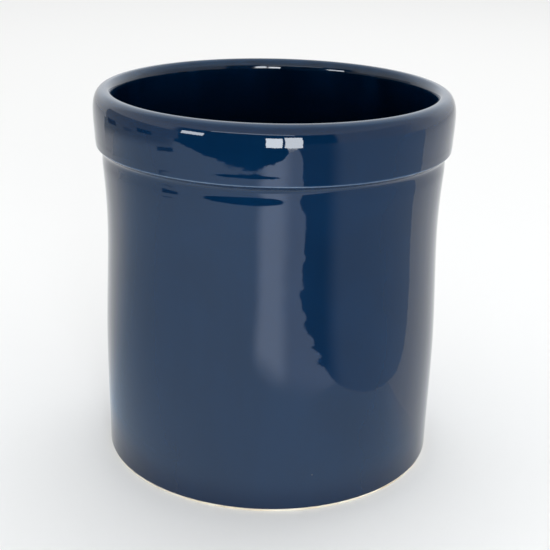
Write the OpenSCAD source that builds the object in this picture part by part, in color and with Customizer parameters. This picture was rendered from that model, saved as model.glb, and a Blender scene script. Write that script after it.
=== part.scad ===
// One-gallon stoneware crock: a straight wall with a rolled collar, glazed inside and out.
// Millimetres, +Z up. The origin is the centre of the base, on the plane it rests on.
// Every piece is turned from one outline, which runs up the outside, over the lip,
// down the bore and across the floor to the axis.

/* [Crock] */
// Overall height, from the resting plane to the top of the lip
crock_h = 200; // [170:1:260]
// Thickness of the fired glaze
glaze_t = 0.5; // [0.3:0.05:0.8]

/* [Wall] */
// Outside radius at the foot, where the glaze stops
foot_r = 90.25; // [88:0.05:93]
// Outside radius of the slight belly, low on the wall
belly_r = 90.85; // [89:0.05:93]
// Outside radius of the slight waist, high on the wall
waist_r = 88.8; // [87:0.05:90.5]
// Outside radius just under the collar
neck_r = 90.5; // [89:0.05:92]
// Height of the belly, as a share of the crock's height
belly_at = 0.29; // [0.2:0.01:0.4]
// Height of the waist, as a share of the crock's height
waist_at = 0.665; // [0.5:0.005:0.72]

/* [Collar] */
// Height of the collar, from its lower edge to the top of the lip
collar_h = 28; // [22:0.5:36]
// How far the collar's lower edge stands out from the wall
collar_step = 3.1; // [1.5:0.1:4]
// Radius of the hollow cove under the collar
cove_r = 5; // [4:0.1:8]
// Radius of the collar's lower edge
edge_r = 0.9; // [0.6:0.1:2]
// Widest outside radius of the collar
collar_r = 94.6; // [94:0.05:98]
// How full the collar's face is: 1 is straight, more is rounder
collar_swell = 1.3; // [1:0.05:2]

/* [Lip] */
// Height of the rolled outer shoulder, from the widest point to the top
lip_out_h = 11.3; // [8:0.1:14]
// Height of the rounded inner edge
lip_in_h = 5.4; // [3:0.1:8]
// Radius of the lip's highest circle
lip_top_r = 87.9; // [86.5:0.05:90]
// How square the outer shoulder is: 2 is an ellipse
lip_fullness = 2.45; // [2:0.05:3]

/* [Inside] */
// Radius of the bore, just below the lip
bore_top_r = 83.85; // [80:0.05:85]
// Radius of the bore, low down
bore_low_r = 82.8; // [78:0.05:83.8]
// Height of the floor inside, above the resting plane
floor_h = 9; // [6:0.5:14]
// Radius between the bore and the floor
floor_fillet_r = 10; // [4:0.5:20]

/* [Foot] */
// Height of the bare clay below the glaze
bare_h = 1.5; // [1.2:0.1:4]
// Radius of the outer edge of the foot
foot_edge_r = 0.8; // [0.4:0.1:1.1]
// Width of the ring that the crock rests on
foot_ring_w = 10; // [6:0.5:20]
// Depth of the shallow hollow inside that ring
foot_hollow = 1.2; // [0.6:0.1:2]

/* [Hidden] */
$fn = 120;
clay_colour = [0.85, 0.80, 0.71];
glaze_colour = [0.07, 0.17, 0.30];

wall_steps = 14;
arc_steps = 6;
lip_steps = 12;

belly_z = crock_h * belly_at;
waist_z = crock_h * waist_at;
lip_wide_z = crock_h - lip_out_h;
lip_in_z = crock_h - lip_in_h;
collar_z = crock_h - collar_h;

// The cove leaves the wall at its own lean and turns out until it has crossed the
// step; the collar's edge then turns back through the same angle.
turn_r = cove_r + edge_r;
neck_guess_z = collar_z - 0.8 * turn_r;
wall_lean = atan(2 * (neck_r - waist_r) / (neck_guess_z - waist_z));
cove_lean = acos(cos(wall_lean) - collar_step / turn_r);
neck_z = collar_z - turn_r * (sin(cove_lean) - sin(wall_lean));
collar_low_r = neck_r + collar_step;

// A level start and a level finish between two radii
function ease(a, b, t) = a + (b - a) * (1 - cos(180 * t)) / 2;

// The direction that a surface faces when it leans out by the given angle
function facing(lean) = [cos(lean), -sin(lean)];

// Points on an arc about a centre, from one lean to another; r < 0 is a hollow
function arc(centre, r, from, to) =
    [for (i = [1 : arc_steps]) centre + r * facing(from + (to - from) * i / arc_steps)];

// The wall: foot to belly, belly to waist, waist to neck
lower_wall = [
    for (i = [0 : wall_steps])
        let (t = i / wall_steps)
        [ease(foot_r, belly_r, t), bare_h + (belly_z - bare_h) * t]
];
middle_wall = [
    for (i = [1 : wall_steps])
        let (t = i / wall_steps)
        [ease(belly_r, waist_r, t), belly_z + (waist_z - belly_z) * t]
];
upper_wall = [
    for (i = [1 : wall_steps])
        let (t = i / wall_steps)
        [waist_r + (neck_r - waist_r) * pow(t, 2), waist_z + (neck_z - waist_z) * t]
];

// The cove under the collar, and the collar's lower edge
cove_centre = [neck_r, neck_z] + cove_r * facing(wall_lean);
cove = arc(cove_centre, -cove_r, wall_lean, cove_lean);
edge_centre = cove_centre - turn_r * facing(cove_lean);
collar_edge = arc(edge_centre, edge_r, cove_lean, wall_lean);

// The collar's face, up to its widest circle
collar_face = [
    for (i = [1 : lip_steps])
        let (t = i / lip_steps)
        [
            collar_low_r + (collar_r - collar_low_r) * (1 - pow(1 - t, collar_swell)),
            collar_z + (lip_wide_z - collar_z) * t
        ]
];

// The lip: a full outer shoulder, then a rounded inner edge
lip_power = 2 / lip_fullness;
lip_outside = [
    for (i = [1 : lip_steps])
        let (a = 90 * i / lip_steps)
        [
            lip_top_r + (collar_r - lip_top_r) * pow(cos(a), lip_power),
            lip_wide_z + lip_out_h * pow(sin(a), lip_power)
        ]
];
lip_inside = [
    for (i = [1 : lip_steps])
        let (a = 90 * i / lip_steps)
        [
            lip_top_r - (lip_top_r - bore_top_r) * sin(a),
            lip_in_z + lip_in_h * cos(a)
        ]
];

// The bore runs straight down to a rounded corner and the flat floor
floor_corner = [
    for (i = [0 : arc_steps])
        let (a = 90 * i / arc_steps)
        [
            bore_low_r - floor_fillet_r * (1 - cos(a)),
            floor_h + floor_fillet_r * (1 - sin(a))
        ]
];
floor_middle = [[0, floor_h]];

outside = concat(lower_wall, middle_wall, upper_wall, cove, collar_edge, collar_face, lip_outside);
inside = concat(lip_inside, floor_corner, floor_middle);
surface_line = concat(outside, inside);
top_index = len(outside) - 1;
last_index = len(surface_line) - 1;

// The same line moved into the clay by the thickness of the glaze
function into_clay(line, depth) = [
    for (i = [0 : len(line) - 1])
        let (
            along = line[min(i + 1, len(line) - 1)] - line[max(i - 1, 0)],
            out = [along[1], -along[0]] / norm(along)
        )
        line[i] - depth * out
];
clay_line = into_clay(surface_line, glaze_t);

// The skin between the two lines, from one point of the outline to another
function skin(from, to) = concat(
    [for (i = [from : to]) surface_line[i]],
    [for (i = [to : -1 : from]) clay_line[i]]
);

// The underside, from the axis to the foot's rounded outer edge
clay_foot_r = clay_line[0][0];
ring_in_r = foot_r - foot_ring_w;
hollow_slope = 2 * foot_hollow;
foot_line = concat(
    [[0, foot_hollow], [ring_in_r - hollow_slope, foot_hollow], [ring_in_r, 0]],
    [
        for (i = [0 : arc_steps])
            let (a = 90 * i / arc_steps)
            [
                clay_foot_r - foot_edge_r * (1 - sin(a)),
                foot_edge_r * (1 - cos(a))
            ]
    ]
);

// The fired clay: floor, wall, collar and lip, bare only at the foot and underneath
module stoneware_body() {
    color(clay_colour)
        rotate_extrude()
            polygon(concat(foot_line, clay_line));
}

// The coat on the outside, from the foot line over the collar to the top of the lip
module outer_glaze() {
    color(glaze_colour)
        rotate_extrude()
            polygon(skin(0, top_index));
}

// The coat on the inside, from the top of the lip down the bore and over the floor
module liner_glaze() {
    color(glaze_colour)
        rotate_extrude()
            polygon(skin(top_index, last_index));
}

stoneware_body();
outer_glaze();
liner_glaze();
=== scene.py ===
import math

import bmesh
import bpy
from mathutils import Matrix, Vector


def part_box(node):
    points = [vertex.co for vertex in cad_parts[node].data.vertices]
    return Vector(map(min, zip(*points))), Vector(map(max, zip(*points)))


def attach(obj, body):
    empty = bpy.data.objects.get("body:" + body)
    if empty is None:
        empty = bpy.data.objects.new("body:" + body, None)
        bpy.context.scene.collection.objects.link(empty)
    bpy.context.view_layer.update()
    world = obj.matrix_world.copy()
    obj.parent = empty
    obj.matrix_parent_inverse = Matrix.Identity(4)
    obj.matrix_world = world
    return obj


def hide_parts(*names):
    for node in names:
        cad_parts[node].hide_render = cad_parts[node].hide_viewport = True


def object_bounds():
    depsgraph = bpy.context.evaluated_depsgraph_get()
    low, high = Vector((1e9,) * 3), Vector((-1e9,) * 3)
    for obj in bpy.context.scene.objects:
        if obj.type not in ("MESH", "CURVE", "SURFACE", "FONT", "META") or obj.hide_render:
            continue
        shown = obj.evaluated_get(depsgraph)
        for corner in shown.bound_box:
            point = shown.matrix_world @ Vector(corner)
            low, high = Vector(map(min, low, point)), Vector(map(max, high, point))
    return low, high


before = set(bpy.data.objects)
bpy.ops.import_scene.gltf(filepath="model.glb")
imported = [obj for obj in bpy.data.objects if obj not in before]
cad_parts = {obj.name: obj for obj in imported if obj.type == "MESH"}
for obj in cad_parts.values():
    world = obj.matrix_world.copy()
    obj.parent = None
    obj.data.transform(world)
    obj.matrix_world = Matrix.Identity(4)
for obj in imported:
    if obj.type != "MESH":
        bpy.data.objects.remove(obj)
cadLow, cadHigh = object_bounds()
print("frame loaded, the crock is", round(cadHigh.z - cadLow.z, 4), "m high")

scene = bpy.context.scene
mm = 0.001

crock = dict(
    high=cadHigh.z,                                # foot to lip
    collarRadius=cadHigh.x - 0.05 * mm,            # widest circle, just inside the frame's box
    glazeFoot=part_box("outer_glaze")[0].z,          # the outer glaze stops here
    lipRadius=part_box("liner_glaze")[1].x,          # the lip's highest circle
    floorHigh=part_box("liner_glaze")[0].z + 0.5 * mm,
    glazeThick=0.5 * mm,
    footRadius=90.25 * mm,
    bellyRadius=90.85 * mm,
    waistRadius=88.8 * mm,
    neckRadius=90.5 * mm,
    bellyAt=0.29,                                  # shares of the height
    waistAt=0.665,
    collarHigh=28 * mm,
    collarStep=3.1 * mm,
    coveRadius=5 * mm,
    edgeRadius=0.9 * mm,
    collarSwell=1.3,
    swellRound=0.3,                                # last share of the collar eased into the lip
    lipOutHigh=11.3 * mm,
    lipInHigh=6.6 * mm,
    lipFullness=2.45,
    boreTop=83.85 * mm,
    boreLow=82.8 * mm,
    floorFillet=10 * mm,
    footEdge=0.8 * mm,
    footRing=10 * mm,
    footHollow=1.2 * mm,
    glazeBead=0.45 * mm,                           # rolled lower edge of the outer glaze
    turns=288,                                     # facets round the crock
    rows=44,                                       # points up each long stretch of the outline
    bendSteps=16,                                  # and round or along its short ones
    edgeSteps=12,
    lipSteps=24,
    boreSteps=40,
    floorSteps=12,
    beadSteps=6,
    footSteps=8,
)

# soft shelves left by the potter's rib: height, how proud below it, how sharp, how soon it fades downwards
throwingSteps = [
    dict(at=163.9 * mm, proud=0.26 * mm, sharp=2.5 * mm, fades=26 * mm),
    dict(at=176.2 * mm, proud=0.036 * mm, sharp=0.9 * mm, fades=3 * mm),
    dict(at=112 * mm, proud=0.03 * mm, sharp=6 * mm, fades=20 * mm),
]

handWork = dict(
    oval=0.16 * mm,                                # out of round
    ovalTurn=0.6,
    bow=0.3 * mm,                                  # the wall leans out to the right at half height
    uneven=0.03 * mm,                              # slow waves in the wall
    waves=((2, 31, 0.4), (3, -44, 1.9), (5, 62, 4.1)),  # times round, turn per metre up, start
    # finger dimples: degrees round from the front, height in millimetres
    dimples=((8, 134), (6, 126), (9.5, 119), (6.5, 112), (9, 104), (12, 92), (15, 84)),
    dimpleDeep=0.07 * mm,
    dimpleWide=3.2 * mm,
)


def ease(a, b, t):
    return a + (b - a) * (1 - math.cos(math.pi * t)) / 2


def facing(lean):
    return Vector((math.cos(lean), -math.sin(lean)))


def arcPoints(centre, radius, start, end, steps):
    turn = (end - start) / steps
    return [centre + radius * facing(start + turn * i) for i in range(1, steps + 1)]


def stepProud(z):
    proud = 0
    for s in throwingSteps:
        shelf = 1 - math.tanh((z - s["at"]) / s["sharp"])
        proud += s["proud"] * shelf * math.exp(-(min(z - s["at"], 0) / s["fades"]) ** 2)
    return proud


def swellAt(c, t):
    # nearly straight at first, then turning upright without a crease
    power, last, left = c["collarSwell"], c["swellRound"], 1 - t
    if left > last:
        return 1 - left ** power
    bend = power / 2 * last ** (power - 2)
    return 1 - last ** power + bend * (last ** 2 - left ** 2)


def wallLine(c, neckZ):
    bellyZ, waistZ = c["high"] * c["bellyAt"], c["high"] * c["waistAt"]
    footZ = c["glazeFoot"] + c["glazeBead"]
    line = []
    for i in range(c["rows"] + 1):                 # foot to belly
        t = i / c["rows"]
        line.append(Vector((ease(c["footRadius"], c["bellyRadius"], t), footZ + (bellyZ - footZ) * t)))
    for i in range(1, c["rows"] + 1):              # belly to waist
        t = i / c["rows"]
        line.append(Vector((ease(c["bellyRadius"], c["waistRadius"], t), bellyZ + (waistZ - bellyZ) * t)))
    for i in range(1, c["rows"] + 1):              # waist to neck
        t = i / c["rows"]
        flare = (c["neckRadius"] - c["waistRadius"]) * t ** 2
        line.append(Vector((c["waistRadius"] + flare, waistZ + (neckZ - waistZ) * t)))
    return line


def outsideLine(c):
    collarZ = c["high"] - c["collarHigh"]
    wideZ = c["high"] - c["lipOutHigh"]
    waistZ = c["high"] * c["waistAt"]
    turn = c["coveRadius"] + c["edgeRadius"]
    lean = math.atan(2 * (c["neckRadius"] - c["waistRadius"]) / (collarZ - 0.8 * turn - waistZ))
    coveLean = math.acos(math.cos(lean) - c["collarStep"] / turn)
    neckZ = collarZ - turn * (math.sin(coveLean) - math.sin(lean))
    line = wallLine(c, neckZ)
    coveCentre = Vector((c["neckRadius"], neckZ)) + c["coveRadius"] * facing(lean)
    line += arcPoints(coveCentre, -c["coveRadius"], lean, coveLean, c["bendSteps"])
    edgeCentre = coveCentre - turn * facing(coveLean)
    line += arcPoints(edgeCentre, c["edgeRadius"], coveLean, lean, c["edgeSteps"])
    lowR = c["neckRadius"] + c["collarStep"]
    for i in range(1, c["rows"] + 1):              # the collar's face
        t = i / c["rows"]
        swell = (c["collarRadius"] - lowR) * swellAt(c, t)
        line.append(Vector((lowR + swell, collarZ + (wideZ - collarZ) * t)))
    power = 2 / c["lipFullness"]
    shoulder = line[-1].x - c["lipRadius"]
    for i in range(1, c["rows"] + 1):              # the lip's outer shoulder
        a = math.pi / 2 * i / c["rows"]
        out = shoulder * max(math.cos(a), 0) ** power
        up = c["lipOutHigh"] * math.sin(a) ** power
        line.append(Vector((c["lipRadius"] + out, wideZ + up)))
    return [Vector((p.x + stepProud(p.y), p.y)) for p in line]


def insideLine(c):
    line = []
    roll = c["lipRadius"] - c["boreTop"]
    for i in range(1, c["lipSteps"] + 1):          # the lip's inner edge
        a = math.pi / 2 * i / c["lipSteps"]
        drop = c["lipInHigh"] * (1 - math.cos(a))
        line.append(Vector((c["lipRadius"] - roll * math.sin(a), c["high"] - drop)))
    low = c["floorHigh"] + c["floorFillet"]
    top = line[-1].copy()
    for i in range(1, c["boreSteps"] + 1):         # the bore
        line.append(top.lerp(Vector((c["boreLow"], low)), i / c["boreSteps"]))
    corner = Vector((c["boreLow"] - c["floorFillet"], low))
    line += arcPoints(corner, c["floorFillet"], 0, math.pi / 2, c["bendSteps"])
    edge = line[-1].x
    for i in range(1, c["floorSteps"] + 1):        # the floor
        line.append(Vector((edge * (1 - i / c["floorSteps"]), c["floorHigh"])))
    return line


def intoClay(line, depth):
    moved = []
    for i, point in enumerate(line):
        along = line[min(i + 1, len(line) - 1)] - line[max(i - 1, 0)]
        moved.append(point - depth * Vector((along.y, -along.x)).normalized())
    moved[-1].x = 0
    return moved


def byHand(around, z, h):
    # only ever inwards, so that the crock stays inside its frame
    oval = h["oval"] * (math.cos(2 * (around - h["ovalTurn"])) - 1) / 2
    wave = sum(math.sin(times * around + climb * z + start) for times, climb, start in h["waves"])
    dent = 0
    for turn, high in h["dimples"]:
        across = crock["waistRadius"] * (around - math.radians(270 + turn))
        dent += math.exp(-(across ** 2 + (z - high * mm) ** 2) / h["dimpleWide"] ** 2)
    return oval + h["uneven"] * (wave / len(h["waves"]) - 1) / 2 - h["dimpleDeep"] * dent


def turnedMesh(name, ring, turns, shades):
    bm = bmesh.new()
    rings = []
    thinAndHighlight = bm.verts.layers.float.new("thinGlazeAndHighlight")
    deepAndShade = bm.verts.layers.float.new("deepGlazeAndShade")
    for point, (thinShade, deepShade) in zip(ring, shades):
        circle = []
        for k in range(turns if point.x > 1e-7 else 1):
            around = 2 * math.pi * k / turns
            r = point.x + byHand(around, point.y, handWork) * min(point.x / crock["boreLow"], 1)
            bow = handWork["bow"] * math.sin(math.pi * point.y / crock["high"])
            vert = bm.verts.new((r * math.cos(around) + bow, r * math.sin(around), point.y))
            vert[thinAndHighlight] = thinShade
            vert[deepAndShade] = deepShade
            circle.append(vert)
        rings.append(circle)
    for low, high in zip(rings, rings[1:] + rings[:1]):
        if len(low) == 1 and len(high) == 1:
            continue
        for k in range(turns):
            corners = [low[k % len(low)], low[(k + 1) % turns % len(low)]]
            corners += [high[(k + 1) % turns % len(high)], high[k % len(high)]]
            bm.faces.new(list(dict.fromkeys(corners)))
    bmesh.ops.recalc_face_normals(bm, faces=bm.faces)
    mesh = bpy.data.meshes.new(name)
    bm.to_mesh(mesh)
    bm.free()
    mesh.shade_smooth()
    mesh.set_sharp_from_angle(angle=math.radians(40))
    obj = bpy.data.objects.new(name, mesh)
    scene.collection.objects.link(obj)
    return obj


def addNode(tree, kind, inputs=None, **settings):
    node = tree.nodes.new(kind)
    for key, value in settings.items():
        setattr(node, key, value)
    for key, value in (inputs or {}).items():
        if isinstance(value, bpy.types.NodeSocket):
            tree.links.new(value, node.inputs[key])
        else:
            node.inputs[key].default_value = value
    return node


def mathNode(tree, operation, a, b=0.0):
    return addNode(tree, "ShaderNodeMath", {0: a, 1: b}, operation=operation).outputs[0]


def stepNode(tree, value, start, end, low=0.0, high=1.0):
    sockets = {"Value": value, "From Min": start, "From Max": end, "To Min": low, "To Max": high}
    return addNode(tree, "ShaderNodeMapRange", sockets, interpolation_type="SMOOTHSTEP").outputs[0]


def mixColour(tree, amount, first, second):
    node = addNode(tree, "ShaderNodeMix", data_type="RGBA")
    for socket, value in zip((node.inputs[0], node.inputs[6], node.inputs[7]), (amount, first, second)):
        if isinstance(value, bpy.types.NodeSocket):
            tree.links.new(value, socket)
        else:
            socket.default_value = value
    return node.outputs[2]


def noiseNode(tree, place, perMetre, detail, stretch=None):
    if stretch:
        sockets = {0: place, 1: stretch}
        place = addNode(tree, "ShaderNodeVectorMath", sockets, operation="MULTIPLY").outputs[0]
    sockets = {"Vector": place, "Scale": perMetre, "Detail": detail}
    return addNode(tree, "ShaderNodeTexNoise", sockets).outputs[0]


def bumpNode(tree, height, depth, below=None):
    sockets = {"Height": height, "Distance": depth, "Strength": 1.0}
    if below:
        sockets["Normal"] = below
    return addNode(tree, "ShaderNodeBump", sockets).outputs[0]


def newMaterial(name):
    mat = bpy.data.materials.new(name)
    mat.use_nodes = True
    tree = mat.node_tree
    place = addNode(tree, "ShaderNodeTexCoord").outputs["Object"]
    return mat, tree, tree.nodes["Principled BSDF"], place


outerFinish = dict(
    deepAndShade=(0.0003, 0.0119, 0.0385, 1),              # thick, glassy stretches
    pale=(0.0005, 0.0146, 0.0465, 1),              # where it ran a little thinner
    edge=(0.004, 0.034, 0.085, 1),                 # thinner over the lip
    thinEdgeAndHighlight=(0.105, 0.132, 0.178, 1),                 # thinnest, over the collar's sharp lower edge, and paler still there as a painted highlight
    speck=(0.05, 0.055, 0.06, 1),                  # clay showing at a pinhole
    glassIor=1.5,
    rough=(0.018, 0.05),
    cloudsPerMetre=26,                             # slow clouds of thick and thin
    runsPerMetre=120,                              # runs drawn out downwards
    runShare=0.25,
    edgePatchesPerMetre=110,                              # patches along the thin, highlighted edges
    peel=0.013 * mm,                               # depth of the orange peel
    peelPerMetre=380,
    wave=0.05 * mm,
    wavePerMetre=70,
    rings=0,                                       # depth of the throwing rings
    ringsPerMetre=36,
    specksPerMetre=55,
    speckSize=0.028,                               # share of the space between them
    speckPatchesPerMetre=31,
)
linerFinish = dict(
    outerFinish,
    # darker glaze of the bore, used in its random clouds and as its painted shade further down
    deepAndShade=(0.0002, 0.0030, 0.0100, 1),
    pale=(0.0005, 0.0110, 0.0360, 1),
    rough=(0.03, 0.09),
    rings=0.12 * mm,
)


def navyGlaze(name, f):
    mat, tree, bsdf, place = newMaterial(name)
    cloud = noiseNode(tree, place, f["cloudsPerMetre"], 4.0)
    runs = noiseNode(tree, place, f["runsPerMetre"], 2.0, (1, 1, 0.12))
    clouds = mathNode(tree, "MULTIPLY", cloud, 1 - f["runShare"])
    cloudy = mathNode(tree, "ADD", clouds, mathNode(tree, "MULTIPLY", runs, f["runShare"]))
    mottle = stepNode(tree, cloudy, 0.3, 0.7)
    colour = mixColour(tree, mottle, f["deepAndShade"], f["pale"])
    # deep glaze in the cove and at the foot, and painted shade darkening down the bore
    poolAndShade = addNode(tree, "ShaderNodeAttribute", attribute_name="deepGlazeAndShade").outputs["Fac"]
    colour = mixColour(tree, poolAndShade, colour, f["deepAndShade"])
    thinAndHighlight = addNode(tree, "ShaderNodeAttribute", attribute_name="thinGlazeAndHighlight").outputs["Fac"]
    patchy = stepNode(tree, noiseNode(tree, place, f["edgePatchesPerMetre"], 2.0), 0.25, 0.7, 0.7, 1.0)
    # paler glaze where it lies thin, and a painted highlight along the collar's lower edge
    for start, end, shade in ((0, 0.5, "edge"), (0.5, 1, "thinEdgeAndHighlight")):
        amount = mathNode(tree, "MULTIPLY", stepNode(tree, thinAndHighlight, start, end), patchy)
        colour = mixColour(tree, amount, colour, f[shade])
    cells = addNode(tree, "ShaderNodeTexVoronoi", {"Vector": place, "Scale": f["specksPerMetre"]})
    rare = stepNode(tree, noiseNode(tree, place, f["speckPatchesPerMetre"], 1.0), 0.6, 0.64)
    speck = stepNode(tree, cells.outputs["Distance"], f["speckSize"] * 0.6, f["speckSize"], 1.0, 0.0)
    speck = mathNode(tree, "MULTIPLY", speck, rare)
    colour = mixColour(tree, speck, colour, f["speck"])
    tree.links.new(colour, bsdf.inputs["Base Color"])
    tree.links.new(stepNode(tree, cloud, 0.3, 0.7, *f["rough"]), bsdf.inputs["Roughness"])
    bsdf.inputs["IOR"].default_value = f["glassIor"]
    shape = bumpNode(tree, noiseNode(tree, place, f["wavePerMetre"], 1.0), f["wave"])
    shape = bumpNode(tree, noiseNode(tree, place, f["peelPerMetre"], 2.0), f["peel"], shape)
    if f["rings"]:
        sockets = {"Vector": place, "Scale": f["ringsPerMetre"], "Distortion": 1.2}
        rings = addNode(tree, "ShaderNodeTexWave", sockets, bands_direction="Z").outputs["Fac"]
        shape = bumpNode(tree, rings, f["rings"], shape)
    tree.links.new(shape, bsdf.inputs["Normal"])
    return mat


clayFinish = dict(
    body=(0.80, 0.74, 0.62, 1),
    warm=(0.70, 0.60, 0.45, 1),                    # toasted patches
    iron=(0.16, 0.09, 0.05, 1),                    # iron spots
    clayIor=1.45,
    rough=(0.72, 0.9),
    patchesPerMetre=60,
    grain=0.06 * mm,                               # depth of the grain
    grainPerMetre=2400,
    spotsPerMetre=420,
    spotSize=(0.07, 0.13),                         # share of the space between them, full and faded out
    spotStrength=0.75,
)


def bareClay(name, f):
    mat, tree, bsdf, place = newMaterial(name)
    cloud = noiseNode(tree, place, f["patchesPerMetre"], 4.0)
    grain = noiseNode(tree, place, f["grainPerMetre"], 3.0)
    colour = mixColour(tree, stepNode(tree, cloud, 0.35, 0.7), f["body"], f["warm"])
    dots = addNode(tree, "ShaderNodeTexVoronoi", {"Vector": place, "Scale": f["spotsPerMetre"]})
    spots = stepNode(tree, dots.outputs["Distance"], *f["spotSize"], f["spotStrength"], 0.0)
    colour = mixColour(tree, spots, colour, f["iron"])
    tree.links.new(colour, bsdf.inputs["Base Color"])
    tree.links.new(stepNode(tree, grain, 0.3, 0.7, *f["rough"]), bsdf.inputs["Roughness"])
    bsdf.inputs["IOR"].default_value = f["clayIor"]
    tree.links.new(bumpNode(tree, grain, f["grain"]), bsdf.inputs["Normal"])
    return mat


glazeLay = dict(
    arrisBelow=0.1 * mm,                           # middle of the pale line of thin glaze and painted highlight, below the collar's edge
    arrisWide=0.38 * mm,
    lipThin=0.4,                                   # how thin it lies over the lip
    lipOutside=1.6 * mm,                           # how far down that reaches
    lipInside=4.2 * mm,
    footWide=1.2 * mm,
    coveBelow=2.6 * mm,                            # middle of the pool in the cove
    coveWide=1.6 * mm,
    paintedShadeFrom=6 * mm,                               # painted shade: the bore darkens from here down
    paintedShadeOver=32 * mm,
    paintedShadeFades=95 * mm,
)


def glazeShades(line, c, g):
    # how thin and how deep the glaze lies: thin over the lip, thin with a painted highlight over the
    # collar's lower edge, deep in the cove under the collar and at the foot, and painted shade darkening
    # down the bore
    collarZ = c["high"] - c["collarHigh"]
    shades = []
    for p in line:
        out = p.x > c["waistRadius"]
        depth = c["high"] - p.y
        # thin glaze with a painted highlight along the collar's lower edge
        arris = math.exp(-((p.y - collarZ + g["arrisBelow"]) / g["arrisWide"]) ** 2) * out
        reach = g["lipOutside"] if p.x > c["lipRadius"] else g["lipInside"]
        lip = math.exp(-((depth / reach) ** 2))
        foot = math.exp(-(p.y - c["glazeFoot"]) / g["footWide"]) * out
        cove = math.exp(-((p.y - collarZ + g["coveBelow"]) / g["coveWide"]) ** 2) * out
        boreShade = 0
        if not out:                                # painted shade, darker down the bore and easing off towards the floor
            boreShade = min(max((depth - g["paintedShadeFrom"]) / g["paintedShadeOver"], 0), 1)
            boreShade *= min(max(1.5 - depth / g["paintedShadeFades"], 0.1), 1)
        shades.append((min(arris + g["lipThin"] * lip, 1), min(cove + foot + boreShade, 1)))
    return shades


def quarterTurn(steps, last):
    return [math.pi / 2 * i / steps for i in range(last)]


outside = outsideLine(crock)
inside = insideLine(crock)
surface = outside + inside
clayLine = intoClay(surface, crock["glazeThick"])
top = len(outside) - 1
footR = clayLine[0].x
bead = []
for a in quarterTurn(crock["beadSteps"], crock["beadSteps"]):
    beadR = footR + (outside[0].x - footR) * math.sin(a)
    bead.append(Vector((beadR, crock["glazeFoot"] + crock["glazeBead"] * (1 - math.cos(a)))))
clayFoot = Vector((footR, crock["glazeFoot"]))

outerRing = bead + surface[: top + 1] + clayLine[top:0:-1]
linerRing = surface[top:] + clayLine[:top - 1:-1]
ringIn = crock["footRadius"] - crock["footRing"]
under = [
    Vector((0, crock["footHollow"])),
    Vector((ringIn - 2 * crock["footHollow"], crock["footHollow"])),
    Vector((ringIn, 0)),
]
for a in quarterTurn(crock["footSteps"], crock["footSteps"] + 1):
    roll = Vector((math.sin(a) - 1, 1 - math.cos(a))) * crock["footEdge"]
    under.append(Vector((footR, 0)) + roll)
bodyRing = under + [clayFoot] + clayLine[1:]

outer = turnedMesh("outerGlaze", outerRing, crock["turns"], glazeShades(outerRing, crock, glazeLay))
liner = turnedMesh("linerGlaze", linerRing, crock["turns"], glazeShades(linerRing, crock, glazeLay))
body = turnedMesh("stonewareBody", bodyRing, crock["turns"], [(0, 0)] * len(bodyRing))
for obj, mat, node, slotName in (
    (outer, navyGlaze("navyGlazeOutside", outerFinish), "outer_glaze", "navy_glaze_outside"),
    (liner, navyGlaze("navyGlazeInside", linerFinish), "liner_glaze", "navy_glaze_inside"),
    (body, bareClay("bareClay", clayFinish), "stoneware_body", "bare_stoneware"),
):
    obj.data.materials.append(mat)
    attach(obj, "root")
    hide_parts(node)
print("crock turned and glazed")

# the room's light by direction: brightness, degrees round from the front, degrees up
room = dict(
    tint=(0.985, 0.995, 1, 1),
    wall=1.0,                                      # left
    back=1.35,                                     # bright wall behind the crock
    backTint=(0.96, 1, 1.04, 1),
    backUp=(0, 16),
    backFrom=(112, 128),
    leftTo=(-135, -118),
    ceiling=0.72,
    ceilingFrom=(15, 60),
    front=0.03,                                    # unlit side of the room
    frontFrom=(-68, -58),
    frontTo=(37, 43),
    frontHigh=(27, 31),                            # where the dark side ends
    right=0.62,                                    # shaded wall on the right
    rightTo=(82, 107),
)


def splitNode(tree, vector):
    return addNode(tree, "ShaderNodeSeparateXYZ", {0: vector}).outputs


def aroundNode(tree, vector):
    x, y, z = splitNode(tree, vector)
    turned = mathNode(tree, "ARCTAN2", x, mathNode(tree, "MULTIPLY", y, -1.0))
    return mathNode(tree, "DEGREES", turned)


def awayNode(tree, vector):
    return addNode(tree, "ShaderNodeVectorMath", {0: vector}, operation="LENGTH").outputs["Value"]


def softRoom(r):
    world = bpy.data.worlds.new("softRoom")
    scene.world = world
    world.use_nodes = True
    tree = world.node_tree
    sky = addNode(tree, "ShaderNodeTexCoord").outputs["Generated"]
    x, y, z = splitNode(tree, sky)
    around = aroundNode(tree, sky)
    up = mathNode(tree, "DEGREES", mathNode(tree, "ARCSINE", z))
    low = stepNode(tree, up, *r["frontHigh"], 1.0, 0.0)
    begins = stepNode(tree, around, *r["frontFrom"])
    middle = stepNode(tree, around, *r["frontTo"])
    ends = stepNode(tree, around, *r["rightTo"])
    front = mathNode(tree, "MULTIPLY", mathNode(tree, "SUBTRACT", begins, middle), low)
    right = mathNode(tree, "MULTIPLY", mathNode(tree, "SUBTRACT", middle, ends), low)
    level = stepNode(tree, up, *r["ceilingFrom"], r["wall"], r["ceiling"])
    for zone, shade in ((front, r["front"]), (right, r["right"])):
        change = mathNode(tree, "MULTIPLY", zone, mathNode(tree, "SUBTRACT", shade, level))
        level = mathNode(tree, "ADD", level, change)
    backLeft = stepNode(tree, around, *r["leftTo"], 1.0, 0.0)
    back = mathNode(tree, "ADD", stepNode(tree, around, *r["backFrom"]), backLeft)
    back = mathNode(tree, "MULTIPLY", back, stepNode(tree, up, *r["backUp"]))
    change = mathNode(tree, "MULTIPLY", back, r["back"] - r["wall"])
    level = mathNode(tree, "ADD", level, change)
    background = tree.nodes["Background"]
    tree.links.new(mixColour(tree, back, r["tint"], r["backTint"]), background.inputs["Color"])
    tree.links.new(level, background.inputs["Strength"])


softRoom(room)


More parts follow.
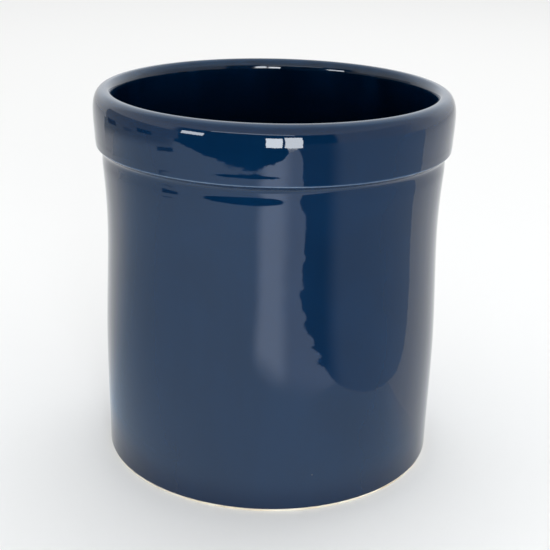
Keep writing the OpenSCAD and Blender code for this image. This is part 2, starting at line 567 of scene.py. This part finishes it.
def flatPiece(name, points, mat):
    mesh = bpy.data.meshes.new(name)
    mesh.from_pydata([tuple(p) for p in points], [], [tuple(range(len(points)))])
    obj = bpy.data.objects.new(name, mesh)
    scene.collection.objects.link(obj)
    mesh.materials.append(mat)
    return obj


def glow(name, colour, strength, shade=None):
    # an even glow, or one that shade() fades and dims over the card
    mat = bpy.data.materials.new(name)
    mat.use_nodes = True
    tree = mat.node_tree
    tree.nodes.clear()
    lit = addNode(tree, "ShaderNodeEmission", {"Color": (*colour, 1), "Strength": strength})
    out = addNode(tree, "ShaderNodeOutputMaterial")
    if shade is None:
        tree.links.new(lit.outputs[0], out.inputs[0])
        return mat
    amount, level = shade(tree, addNode(tree, "ShaderNodeNewGeometry").outputs["Position"])
    tree.links.new(mathNode(tree, "MULTIPLY", level, strength), lit.inputs["Strength"])
    clear = addNode(tree, "ShaderNodeBsdfTransparent")
    mixed = addNode(tree, "ShaderNodeMixShader", {0: amount, 1: clear.outputs[0], 2: lit.outputs[0]})
    tree.links.new(mixed.outputs[0], out.inputs[0])
    return mat


floorFinish = dict(colour=(0.918, 0.903, 0.885, 1), rough=0.9, half=3.2)
backdropFinish = dict(colour=(1, 1, 1), glows=0.95, sides=96)


def paleFloor(f):
    mat, tree, bsdf, place = newMaterial("paleFloor")
    bsdf.inputs["Base Color"].default_value = f["colour"]
    bsdf.inputs["Roughness"].default_value = f["rough"]
    bsdf.inputs["Specular IOR Level"].default_value = 0
    h = f["half"]
    flatPiece("floor", [(-h, -h, 0), (h, -h, 0), (h, h, 0), (-h, h, 0)], mat)


def paleBackdrop(f, half):
    # a pale wall all round that only the camera sees
    bm = bmesh.new()
    bmesh.ops.create_cone(bm, segments=f["sides"], radius1=half, radius2=half, depth=2 * half)
    mesh = bpy.data.meshes.new("backdrop")
    bm.to_mesh(mesh)
    bm.free()
    mesh.materials.append(glow("backdropPaper", f["colour"], f["glows"]))
    obj = bpy.data.objects.new("backdrop", mesh)
    scene.collection.objects.link(obj)
    for ray in ("glossy", "diffuse", "shadow", "transmission"):
        setattr(obj, "visible_" + ray, False)


paleFloor(floorFinish)
paleBackdrop(backdropFinish, floorFinish["half"])


def onlyReflected(obj, lights=False):
    obj.visible_camera = False
    obj.visible_diffuse = lights
    obj.visible_shadow = False
    obj.visible_transmission = False


def direction(around, up):
    a, e = math.radians(around), math.radians(up)
    return Vector((math.sin(a) * math.cos(e), -math.cos(a) * math.cos(e), math.sin(e)))


# panes of light and dark shapes round the room: degrees round, degrees up, strength, metres away
panes = dict(
    windowLeft=dict(around=(-4.5, 5.5), up=(-11, 15.5), glows=16, away=1.2, lights=True),
    windowRight=dict(around=(7, 18), up=(-11, 19), glows=14, away=1.2, lights=True),
    windowFar=dict(around=(-59, -44), up=(8, 17), glows=12, away=1.2, lights=False),
    ceilingLine=dict(around=(-42, 14), up=(27.5, 30.5), glows=4, away=1.2, lights=False),
    darkSide=dict(around=(-125, -60), up=(-7.2, 11), glows=0.42, away=1.5, lights=False),
    darkChair=dict(around=(-92, -80), up=(-9, -3), glows=0.06, away=1.1, lights=False),
    darkShelf=dict(around=(-123, -113), up=(-10, -5), glows=0.1, away=1.0, lights=False),
    darkStool=dict(around=(-105, -98), up=(-11, -8), glows=0.25, away=0.9, lights=False),
    darkTray=dict(around=(-79, -67), up=(-17.5, -15.6), glows=0.1, away=0.6, lights=False),
    darkCloth=dict(around=(-81, -73), up=(-22.6, -21.6), glows=0.3, away=0.45, lights=False),
)
paneColour = (0.9, 0.95, 1)
paneCentre = Vector((0, -0.09, 0.19))              # the front of the collar, where the angles start


def roomPane(name, p):
    (a, b), (low, high) = p["around"], p["up"]
    spots = ((a, low), (b, low), (b, high), (a, high))
    corners = [paneCentre + p["away"] * direction(*spot) for spot in spots]
    card = flatPiece(name, corners, glow(name, paneColour, p["glows"]))
    onlyReflected(card, p["lights"])


for name, p in panes.items():
    roomPane(name, p)


def tableCard(name, outline, c, shade=None):
    mat = glow(c["finish"], c["colour"], c["glows"], shade)
    card = flatPiece(name, [(x, y, c["high"]) for x, y in outline], mat)
    onlyReflected(card)


def rounded(points, times):
    # cuts the corners of an outline, over and over
    for turn in range(times):
        smooth = []
        for a, b in zip(points, points[1:] + points[:1]):
            a, b = Vector(a), Vector(b)
            smooth += [tuple(a.lerp(b, 0.25)), tuple(a.lerp(b, 0.75))]
        points = smooth
    return points


# what the glaze reflects of the table and the floor beyond it, seen from above in metres
tableNear = [(-0.3, -0.5), (-0.09, -0.52), (0.01, -0.57), (0.06, -0.62), (0.13, -0.81)]
tableRight = [
    (0.2, -0.7), (0.157, -0.52), (0.13, -0.43), (0.138, -0.37), (0.147, -0.28), (0.15, -0.2),
    (0.154, -0.17), (0.165, -0.128), (0.179, -0.1), (0.197, -0.068), (0.22, -0.037), (0.26, -0.012),
    (0.36, 0.036), (0.465, 0.08), (6, 1.4), (6, -6), (1.2, -6),
]

rugCard = dict(
    finish="darkRug",
    colour=(0.9, 0.97, 1),
    glows=1.0,
    high=1.3 * mm,
    reach=(0.6, 1.6),                              # metres from the crock
    turns=(-125, -93, -60),
    fades=(0.62, 0.86),
    lightens=(-70, -50, 0.42, 0.8),                # degrees from and to, shades from and to
)


def rugFade(tree, place):
    around = aroundNode(tree, place)
    amount = stepNode(tree, awayNode(tree, place), *rugCard["fades"])
    return amount, stepNode(tree, around, *rugCard["lightens"])


rugNear, rugFar = [[away * direction(turn, 0).xy for turn in rugCard["turns"]] for away in rugCard["reach"]]
tableCard("rug", rugNear + rugFar[::-1], rugCard, rugFade)

sheenCard = dict(
    finish="tableSheen",
    colour=(0.87, 1.035, 1.22),
    glows=1.0,
    high=0.8 * mm,
    fades=(0.092, 0.12),                           # metres from the crock's middle
    leftEnd=(-125, -95),
    rightEnd=(60, 88),
    leftDims=(-90, -30, 0.78, 1.0),
    rightDims=(10, 60, 1.0, 0.84),
)


def tableSheen(tree, place):
    c = sheenCard
    around = aroundNode(tree, place)
    rightEnd = stepNode(tree, around, *c["rightEnd"], 1.0, 0.0)
    sides = mathNode(tree, "MULTIPLY", stepNode(tree, around, *c["leftEnd"]), rightEnd)
    amount = mathNode(tree, "MULTIPLY", stepNode(tree, awayNode(tree, place), *c["fades"]), sides)
    left, right = stepNode(tree, around, *c["leftDims"]), stepNode(tree, around, *c["rightDims"])
    return amount, mathNode(tree, "MULTIPLY", left, right)


sheen = tableRight[9:0:-1] + tableNear[3::-1]
sheen += [(-0.9, -0.5), (-0.9, 0.3), (-0.05, 0.2), (0.05, 0.05)]
tableCard("sheen", sheen, sheenCard, tableSheen)

endCard = dict(finish="darkRoomFloor", colour=(1, 1, 1), glows=0.02, high=1 * mm)
tableCard("tableEnd", [(-6, -0.5)] + tableNear + [(0.5, -6), (-6, -6)], endCard)

sideCard = dict(
    finish="roomFloor",
    colour=(0.85, 1, 1.2),
    glows=0.62,
    high=1.2 * mm,
    fades=(-80, -70),
    lightens=(30, 44, 0.2, 1.0),
)


def floorBeyond(tree, place):
    around = aroundNode(tree, place)
    return stepNode(tree, around, *sideCard["fades"]), stepNode(tree, around, *sideCard["lightens"])


tableCard("tableSide", rounded(tableRight, 2), sideCard, floorBeyond)

streakCard = dict(
    finish="windowStreak",
    colour=(0.88, 1, 1.22),
    glows=2.45,
    high=1.4 * mm,
    leftEnd=(-17, -9),
    leftSlant=14,                                  # degrees its left end turns over a metre
    nearEnd=(-0.24, -0.33),
    nearSlope=0.7,
    dims=(3, 13, 1.0, 0.55),
)


def windowStreak(tree, place):
    c = streakCard
    around = aroundNode(tree, place)
    x, y, z = splitNode(tree, place)
    near = mathNode(tree, "SUBTRACT", y, mathNode(tree, "MULTIPLY", x, c["nearSlope"]))
    slant = mathNode(tree, "ADD", around, mathNode(tree, "MULTIPLY", y, c["leftSlant"]))
    left = stepNode(tree, slant, *c["leftEnd"])
    amount = mathNode(tree, "MULTIPLY", left, stepNode(tree, near, *c["nearEnd"]))
    return amount, stepNode(tree, around, *c["dims"])


streak = [
    (-0.1, -0.2), (0.148, -0.2), (0.145, -0.28), (0.136, -0.37), (0.13, -0.43), (0.157, -0.52),
    (0.2, -0.7), (0.26, -1),
]
tableCard("streak", streak + tableNear[:1:-1] + [(-0.12, -0.52)], streakCard, windowStreak)

lamps = dict(
    backLamp=dict(at=(0.35, 1.2, 2.1), size=(2.2, 1.6), watts=10.8, colour=(1, 1, 1)),
    frontLamp=dict(at=(0.2, -1.4, 1.5), size=(1.6, 1.2), watts=3.5, colour=(0.8, 0.92, 1)),
)
lampsAim = Vector((0, 0, 0.1))


def softLamp(name, lamp):
    data = bpy.data.lights.new(name, "AREA")
    data.shape = "RECTANGLE"
    data.size, data.size_y = lamp["size"]
    data.energy = lamp["watts"]
    data.color = lamp["colour"]
    obj = bpy.data.objects.new(name, data)
    scene.collection.objects.link(obj)
    obj.location = lamp["at"]
    obj.rotation_euler = (lampsAim - obj.location).to_track_quat("-Z", "Y").to_euler()
    obj.visible_glossy = False
    obj.visible_camera = False


for name, lamp in lamps.items():
    softLamp(name, lamp)
print("room lit")

# metres back and high, radians down, round and tilted, millimetres of lens and sensor
view = dict(back=0.5905, high=0.3125, down=0.3525, turn=0.0038, tilt=0.022, lens=74.4, sensor=36)


def aimCamera(v):
    data = bpy.data.cameras.new("camera")
    data.lens = v["lens"]
    data.sensor_width = v["sensor"]
    cam = bpy.data.objects.new("camera", data)
    scene.collection.objects.link(cam)
    level = Vector((math.sin(v["turn"]), math.cos(v["turn"]), 0))
    ahead = math.cos(v["down"]) * level - math.sin(v["down"]) * Vector((0, 0, 1))
    right = Vector((level.y, -level.x, 0))
    up = right.cross(ahead)
    across = math.cos(v["tilt"]) * right + math.sin(v["tilt"]) * up
    basis = Matrix((across, across.cross(ahead), -ahead)).transposed()
    cam.matrix_world = Matrix.Translation((0, -v["back"], v["high"])) @ basis.to_4x4()
    scene.camera = cam


aimCamera(view)
scene.view_settings.view_transform = "Standard"
